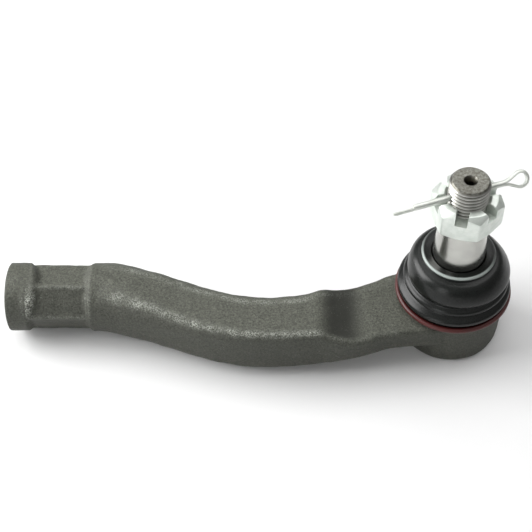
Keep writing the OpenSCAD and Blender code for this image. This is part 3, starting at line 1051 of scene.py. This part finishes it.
@dataclass
class CastleNut:
    """Hexagonal nut with three slots across its crown."""

    low: float = field(default_factory=lambda: node_span("castle_nut", 2)[0])
    high: float = field(default_factory=lambda: node_span("castle_nut", 2)[1])
    across: float = 22.0
    turn_deg: float = -16.0
    bore: float = 7.05
    bore_chamfer: float = 0.9
    slot_floor: float = 50.5
    slot_width: float = 4.2
    foot_trim: float = 1.8
    crown_trim: float = 2.6
    crown_drop: float = 2.1
    sharpness: float = 70.0
    columns: int = 240
    finish: ZincFinish = ZincFinish("nut_zinc")

    def body(self) -> bpy.types.Object:
        """The nut before its slots: for each angle a closed profile whose side is the hexagon
        and whose top and foot are trimmed by cones, with every corner rounded."""
        turn = (np.arange(self.columns) + 0.5) / self.columns * FULL_TURN
        side = hexagon_radius(turn - math.radians(self.turn_deg), self.across, self.sharpness)
        corner = self.across / 2 / math.cos(math.radians(30.0))
        foot_r, crown_r = corner - self.foot_trim, corner - self.crown_trim
        foot_z = self.low + np.maximum(side - foot_r, 0.0) / self.foot_trim
        crown_z = self.high - np.maximum(side - crown_r, 0.0) * self.crown_drop / self.crown_trim
        flat = np.ones_like(side)
        mouth = self.bore + self.bore_chamfer
        stops = [
            (self.bore * flat, (self.low + 3.0) * flat),
            (self.bore * flat, (self.low + self.bore_chamfer) * flat), (mouth * flat, self.low * flat),
            (np.minimum(side, foot_r) - 0.02, self.low * flat), (side, foot_z), (side, crown_z),
            (np.minimum(side, crown_r) - 0.02, self.high * flat), (mouth * flat, self.high * flat),
            (self.bore * flat, (self.high - self.bore_chamfer) * flat),
            (self.bore * flat, (self.low + 3.0) * flat),
        ]
        outline = np.stack([np.stack(stop, axis=-1) for stop in stops], axis=1)
        outline = round_corners(outline, np.array([0.2, 0.15, 0.25, 0.3, 0.35, 0.35, 0.2, 0.2]), 4)
        rings = rings_about_z(outline[..., 0].T, outline[..., 1].T, turn)
        return make_object("nut", [Shell.from_rings(rings)], 30.0)

    def slot_tool(self, index: int) -> bpy.types.Object:
        """A bar across the nut with a rounded floor and a flared top, carried along the slot."""
        half, up = self.slot_width / 2, self.high + 1.0
        section = np.array([
            [0.0, self.slot_floor], [half, self.slot_floor], [half, self.high - 0.25],
            [half + 1.25, up], [0.0, up],
        ])
        section = round_corners(section, np.array([0.55, 0.2, 0.0]), 6)
        loop = np.vstack([section, section[::-1] * [-1.0, 1.0]])
        heading = math.radians(self.turn_deg + 60.0 * index)
        across = np.array([math.cos(heading), math.sin(heading), 0.0])
        along = np.array([-math.sin(heading), math.cos(heading), 0.0]) * 0.75 * self.across
        face = loop[:, :1] * across + loop[:, 1:] * np.array([0.0, 0.0, 1.0])
        near, far = face - along, face + along
        rings = np.concatenate([closing_ring(near), [near, far], closing_ring(far)])
        return make_object("slot_tool", [Shell.from_rings(rings)])

    def build(self) -> bpy.types.Object:
        """Cuts the three slots and dresses the nut."""
        made = self.body()
        for index in range(3):
            combine(made, self.slot_tool(index), Cut.REMOVE, 30.0)
        made.data.materials.append(self.finish.material())
        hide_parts("castle_nut")
        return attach(made, "nut")


@dataclass
class CotterPin:
    """One half-round wire: a long leg, round the eye, and back along a short leg."""

    hole_height: float = PIN_HEIGHT
    leg_radius: float = 1.05
    gap: float = 0.06
    long_leg: float = 26.6
    short_leg: float = 19.5
    neck: float = 13.8
    eye_reach: float = 4.6
    eye_radius: float = 2.15
    roll_deg: float = 38.0
    finish: ZincFinish = ZincFinish(
        "pin_zinc", (0.76, 0.785, 0.74), (0.58, 0.61, 0.55), 0.34, 0.50, 0.6, 0.22)

    def path(self) -> np.ndarray:
        """The wire's inner face as points [along, across], from the long leg's tip to the
        short leg's, the eye as an arc met at a tangent and the neck bends rounded."""
        open_angle = math.acos(self.eye_radius / self.eye_reach)
        arc = np.linspace(open_angle, math.pi * 2 - open_angle, 49)
        eye = np.stack([self.eye_radius * np.cos(arc), self.eye_radius * np.sin(arc)], axis=1)
        eye += [-self.neck - self.eye_reach, 0.0]
        half = self.gap / 2
        into = np.array([[0.0, half], [-self.neck, half], eye[0]])
        out = np.array([eye[-1], [-self.neck, -half], [0.0, -half]])
        bend_in, bend_out = round_corners(into, 1.6, 9), round_corners(out, 1.6, 9)
        return np.vstack([[self.long_leg, half], bend_in[:-1], eye, bend_out[1:],
                          [self.short_leg, -half]])

    def build(self) -> bpy.types.Object:
        """Carries a half-round section along the path, its flat towards the other leg.

        The section at angle v is (R sin v outwards, R cos v sideways), closed by its flat, and it
        shrinks to a small dome at both tips.
        """
        path = subdivide(self.path(), 1.0)
        tangent = np.gradient(path, axis=0)
        tangent /= np.linalg.norm(tangent, axis=1, keepdims=True)
        outward = np.stack([tangent[:, 1], -tangent[:, 0]], axis=1)
        v = np.linspace(0.0, math.pi, 15)
        flat = np.linspace(-0.88, 0.88, 5)
        rise = np.concatenate([np.sin(v) * 0.97 + 0.03, 0 * flat])
        side = np.concatenate([np.cos(v), flat])
        slim = np.ones(len(path))
        slim[[0, -1]] = 0.80
        rise, side = rise * self.leg_radius * slim[:, None], side * self.leg_radius * slim[:, None]
        along = path[:, :1] + outward[:, :1] * rise
        across = path[:, 1:] + outward[:, 1:] * rise
        rings = np.stack([side, across, along], axis=-1)
        rings = np.concatenate([closing_ring(rings[0]), rings, closing_ring(rings[-1])])
        placed = rings.reshape(-1, 3) @ self.placing().T + [0.0, 0.0, self.hole_height]
        made = make_object("pin", [Shell(placed, Shell.from_rings(rings).quads)], 50.0)
        made.data.materials.append(self.finish.material())
        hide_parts("cotter_pin")
        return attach(made, "pin")

    def placing(self) -> np.ndarray:
        """Rotation that aims the pin's +Z down its legs and rolls it about them."""
        legs = -joint_axis("pin_pull")
        flat = np.cross(legs, [0.0, 0.0, 1.0])
        flat /= np.linalg.norm(flat)
        frame_axes = np.stack([flat, np.cross(legs, flat), legs], axis=1)
        roll = np.array(Matrix.Rotation(math.radians(self.roll_deg), 3, "Z"))
        return frame_axes @ roll


# --- the boot


@dataclass
class DustBoot:
    """The rubber boot, in two pieces that meet in its groove."""

    foot: float = field(default_factory=lambda: node_span("boot_skirt", 2)[0])
    top: float = field(default_factory=lambda: node_span("boot_neck", 2)[1])
    seam: float = 15.2
    seam_radius: float = 17.6
    wall: float = 1.7
    seat_radius: float = 17.6
    mouth: float = 9.0
    lip_bottom: float = 21.4
    grip_radius: float = 9.55
    lean: float = 0.9
    soft_from: float = 10.0
    soft_to: float = 23.5
    columns: int = 160
    finish: RubberFinish = RubberFinish()

    def lower(self) -> bpy.types.Object:
        """Foot, flange, groove and ridge, up to the seam."""
        seam_r, w = self.seam_radius, self.wall
        outline = np.array([
            [self.seat_radius, 6.0], [self.seat_radius, self.foot], [19.0, self.foot], [19.0, 7.2],
            [19.9, 7.6], [20.35, 8.4], [20.25, 9.6], [19.1, 10.5], [17.75, 11.4], [18.75, 12.2],
            [18.95, 13.0], [18.5, 13.9], [17.4, 14.5], [seam_r, self.seam], [seam_r - w, self.seam],
            [16.0, 14.0], [16.9, 12.9], [16.0, 11.2], [17.2, self.mouth + 0.5],
            [self.seat_radius, self.mouth], [self.seat_radius, 6.0],
        ])
        radii = np.full(len(outline) - 2, 0.6)
        radii[[0, 1, 12, 13]] = [0.2, 0.2, 0.02, 0.02]
        outline = subdivide(round_corners(outline, radii, 5), 0.55)
        return self.piece("boot_lower", outline)

    def upper(self) -> bpy.types.Object:
        """Bulge, shoulder and rolled lip, from the seam up."""
        seam_r, w = self.seam_radius, self.wall
        outline = np.array([
            [seam_r - w, self.seam], [seam_r, self.seam], [18.05, 16.1], [18.3, 17.2], [18.0, 18.6],
            [17.4, 20.1], [16.7, 21.5], [15.7, 22.8], [14.6, 23.6], [13.3, 23.9], [12.55, 24.2],
            [12.75, 24.7], [13.15, 25.2], [13.05, self.top - 0.45], [12.45, self.top],
            [11.6, self.top - 0.35], [self.grip_radius, 25.3], [self.grip_radius, self.lip_bottom],
            [11.8, self.lip_bottom], [13.6, 21.7], [15.0, 20.8], [15.7, 19.5], [16.4, 17.4],
            [16.2, 16.2], [seam_r - w, self.seam],
        ])
        radii = np.full(len(outline) - 2, 0.9)
        radii[8:17] = [0.3, 0.25, 0.3, 0.3, 0.3, 0.3, 0.4, 0.3, 0.3]
        radii[0] = 0.02
        outline = subdivide(round_corners(outline, radii, 6), 0.45)
        return self.piece("boot_upper", outline)

    def piece(self, name: str, outline: np.ndarray) -> bpy.types.Object:
        """Turns an outline and lets the soft middle lean towards +X, foot and lip held.

        The lean at height z is a bump sin^2 between the flange and the lip.
        """
        made = Shell.turned(outline, self.columns)
        places = made.points.copy()
        share = np.clip((places[:, 2] - self.soft_from) / (self.soft_to - self.soft_from), 0.0, 1.0)
        softness = np.sin(math.pi * share) ** 2
        places[:, 0] += self.lean * softness
        swell = 0.05 * ripple(places, 8.0, 11) * softness
        outward = places * [1.0, 1.0, 0.0]
        outward /= np.maximum(np.linalg.norm(outward, axis=1, keepdims=True), 1e-9)
        done = make_object(name, [Shell(places + outward * swell[:, None], made.quads)], 60.0)
        paint(done.data, "wear", self.edge_wear(vertex_places(done.data)))
        return done

    def edge_wear(self, places: np.ndarray) -> np.ndarray:
        """Where a pale highlight is painted along the rolled lip's outer edge, mostly on the side
        towards -Y.
        """
        x, y, z = places.T
        away = np.hypot(np.hypot(x, y) - 12.85, z - self.top + 0.25)
        # The painted highlight is brighter on the side that faces -Y and -X
        facing = ease(-0.35, 0.75, (-0.35 * x - y) / np.maximum(np.hypot(x, y), 1e-9))
        return np.exp(-((away / 0.55) ** 4)) * (0.12 + 0.88 * facing)

    def build(self) -> list[bpy.types.Object]:
        """Both pieces in one rubber, their transforms baked into their meshes."""
        rubber = self.finish.material()
        lower, upper = self.lower(), self.upper()
        for piece in (lower, upper):
            piece.data.materials.append(rubber)
        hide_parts("boot_skirt")
        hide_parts("boot_bellows", "boot_neck")
        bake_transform(lower)
        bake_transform(upper)
        return [lower, upper]


@dataclass
class BaseRing:
    """The coated wire ring that clamps the boot's foot to the housing."""

    outer: float = field(default_factory=lambda: node_span("boot_base_ring", 0)[1])
    low: float = field(default_factory=lambda: node_span("boot_base_ring", 2)[0])
    high: float = field(default_factory=lambda: node_span("boot_base_ring", 2)[1])
    finish: CoatedFinish = CoatedFinish(
        "ring_red", (0.072, 0.0075, 0.006), (0.044, 0.006, 0.005), 0.36, 0.52)

    def build(self) -> bpy.types.Object:
        """A round section carried round the boot, wavering by a few hundredths."""
        half = (self.high - self.low) / 2
        middle = self.outer - half
        v = full_circle(24)
        r, z = middle + half * 0.97 * np.cos(v), self.low + half + half * np.sin(v)
        shell = Shell.turned_loop(np.stack([r, z], axis=1), 192)
        waver = shell.points + [0.0, 0.0, 1.0] * (0.05 * ripple(shell.points, 9.0, 21))[:, None]
        made = make_object("base_ring", [Shell(waver, shell.quads)], 80.0)
        made.data.materials.append(self.finish.material())
        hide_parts("boot_base_ring")
        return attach(made, "housing")


# --- pieces inside the housing


@dataclass
class EndCap:
    """The pressed plate that closes the housing from below."""

    radius: float = field(default_factory=lambda: node_span("end_cap", 0)[1])
    low: float = field(default_factory=lambda: node_span("end_cap", 2)[0])
    high: float = field(default_factory=lambda: node_span("end_cap", 2)[1])
    deep: float = 0.5
    finish: CoatedFinish = CoatedFinish(
        "cap_phosphate", (0.055, 0.057, 0.055), (0.105, 0.105, 0.098), 0.42, 0.62, 0.6, 0.03, 0.35)

    def build(self) -> bpy.types.Object:
        """A dished disc with a pressed ring near its rim, every step rounded."""
        rim, step = self.radius - 0.02, self.low + self.deep
        outline = np.array([
            [0.0, self.low + 0.15], [3.0, self.low + 0.15], [4.0, self.low], [7.0, self.low],
            [8.6, step], [11.6, step], [12.4, step + 0.2], [13.6, step + 0.2], [14.4, step],
            [rim, step], [rim, self.high - 0.01], [8.6, self.high - 0.01],
            [7.0, self.high - self.deep], [0.0, self.high - self.deep],
        ])
        outline = subdivide(round_corners(outline, 0.5, 5), 1.2)
        made = make_object("cap_plate", [Shell.turned(outline, 120)])
        made.data.materials.append(self.finish.material())
        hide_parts("end_cap")
        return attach(made, "housing")


@dataclass
class HiddenPieces:
    """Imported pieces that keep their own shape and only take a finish."""

    bearing: CoatedFinish = CoatedFinish(
        "bearing_acetal", (0.80, 0.78, 0.72), (0.72, 0.70, 0.64), 0.30, 0.45)
    spring: CoatedFinish = CoatedFinish(
        "spring_plain", (0.42, 0.42, 0.43), (0.32, 0.32, 0.33), 0.28, 0.45, 1.0, 0.01)
    insert: CoatedFinish = CoatedFinish(
        "insert_plain", (0.46, 0.46, 0.45), (0.36, 0.36, 0.35), 0.30, 0.50, 1.0, 0.01)
    seal: RubberFinish = RubberFinish("seal_rubber", (0.02, 0.02, 0.02), (0.045, 0.045, 0.045))

    def build(self) -> list[bpy.types.Object]:
        """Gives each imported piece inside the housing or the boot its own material."""
        bearing = self.bearing.material()
        dressed = {
            "upper_bearing": bearing, "lower_bearing": bearing,
            "preload_spring": self.spring.material(), "boot_neck_insert": self.insert.material(),
            "cap_seal": self.seal.material(),
        }
        for node, material in dressed.items():
            mesh = frame["nodes"][node].data
            mesh.materials.clear()
            mesh.materials.append(material)
        return [frame["nodes"][node] for node in dressed]


# --- the studio


@dataclass(frozen=True)
class Lamp:
    """One soft rectangular lamp, aimed at a point."""

    name: str
    place: tuple[float, float, float]
    size: tuple[float, float]
    watts: float
    aim: tuple[float, float, float] = (-0.05, 0.0, 0.01)

    def build(self) -> None:
        """Adds the lamp to the scene."""
        data = bpy.data.lights.new(self.name, "AREA")
        data.shape, data.size, data.size_y = "RECTANGLE", *self.size
        data.energy = self.watts
        lamp = bpy.data.objects.new(self.name, data)
        lamp.location = self.place
        lamp.rotation_euler = (Vector(self.place) - Vector(self.aim)).to_track_quat("Z", "Y").to_euler()
        bpy.context.scene.collection.objects.link(lamp)


@dataclass
class Studio:
    """Pale floor, soft light and the camera."""

    floor: float = field(default_factory=lambda: CAD_BOX[0].z)
    azimuth: float = 2.1
    elevation: float = 50.8
    roll: float = -1.3
    view_angle: float = 25.0
    horizon: float = 0.12
    zenith: float = 0.50
    camera_place: tuple[float, float, float] = (-57.994, -271.932, 350.463)
    lamps: tuple[Lamp, ...] = (
        Lamp("key_lamp", (-0.88, 0.14, 0.46), (0.85, 0.75), 15.0),
        Lamp("top_lamp", (0.05, 0.35, 0.95), (1.20, 1.00), 5.6),
        Lamp("side_strip", (-0.42, -0.66, 0.26), (0.22, 0.50), 0.9),
    )

    def add_floor(self) -> None:
        """A wide pale floor just under the object."""
        half = 3.0
        corners = [(-half, -half, self.floor), (half, -half, self.floor), (half, half, self.floor),
                   (-half, half, self.floor)]
        mesh = bpy.data.meshes.new("floor")
        mesh.from_pydata(corners, [], [(0, 1, 2, 3)])
        ground = bpy.data.objects.new("floor", mesh)
        bpy.context.scene.collection.objects.link(ground)
        g = Graph("floor_white")
        tone = g.mixed(g.noise(60.0, 2.0, 0.5), (0.78, 0.78, 0.78), (0.80, 0.80, 0.80))
        mesh.materials.append(g.shade(Base_Color=tone, Roughness=0.9, Specular_IOR_Level=0.1))

    def add_sky(self) -> None:
        """A white surround, bright overhead and dim near the horizon."""
        world = bpy.data.worlds.new("studio")
        bpy.context.scene.world = world
        world.use_nodes = True
        nodes, links = world.node_tree.nodes, world.node_tree.links
        nodes.clear()
        place = nodes.new("ShaderNodeTexCoord")
        split = nodes.new("ShaderNodeSeparateXYZ")
        links.new(place.outputs["Generated"], split.inputs[0])
        rise = nodes.new("ShaderNodeMapRange")
        links.new(split.outputs["Z"], rise.inputs["Value"])
        limits = {"From Min": 0.1, "From Max": 0.9, "To Min": self.horizon, "To Max": self.zenith}
        for socket, number in limits.items():
            rise.inputs[socket].default_value = number
        back = nodes.new("ShaderNodeBackground")
        back.inputs["Color"].default_value = (1.0, 1.0, 1.0, 1.0)
        links.new(rise.outputs["Result"], back.inputs["Strength"])
        out = nodes.new("ShaderNodeOutputWorld")
        links.new(back.outputs[0], out.inputs["Surface"])

    def add_camera(self) -> None:
        """The camera, from its place, its two angles and a small roll."""
        az, el, roll = (math.radians(a) for a in (self.azimuth, self.elevation, self.roll))
        back = Vector((math.sin(az) * math.cos(el), -math.cos(az) * math.cos(el), math.sin(el)))
        level = Vector((math.cos(az), math.sin(az), 0.0))
        above = back.cross(level)
        right = level * math.cos(roll) + above * math.sin(roll)
        up = above * math.cos(roll) - level * math.sin(roll)
        data = bpy.data.cameras.new("camera")
        data.angle = math.radians(self.view_angle)
        data.clip_start, data.clip_end = 0.01, 20.0
        camera = bpy.data.objects.new("camera", data)
        turned = Matrix((right, up, back)).transposed().to_4x4()
        camera.matrix_world = Matrix.Translation(Vector(self.camera_place) * MM) @ turned
        bpy.context.scene.collection.objects.link(camera)
        bpy.context.scene.camera = camera

    def build(self) -> None:
        """Sets the stage."""
        self.add_floor()
        self.add_sky()
        self.add_camera()
        for lamp in self.lamps:
            lamp.build()
        bpy.context.scene.view_settings.view_transform = "Standard"


# --- making it all


def report(pieces: list[bpy.types.Object]) -> None:
    """Logs each piece with the number of its faces."""
    for piece in pieces:
        LOG.info("%s: %d faces", piece.name, len(piece.data.polygons))


def main() -> None:
    """Builds every piece in order, then the studio."""
    logging.basicConfig(level=logging.INFO, format="%(name)s: %(message)s")
    forging = Forging()
    report([forging.build(), RodThread(forging).build()])
    report([BallStud().build(), CastleNut().build(), CotterPin().build()])
    report(DustBoot().build())
    report([BaseRing().build(), EndCap().build()])
    report(HiddenPieces().build())
    Studio().build()


if __name__ == "__main__":
    main()
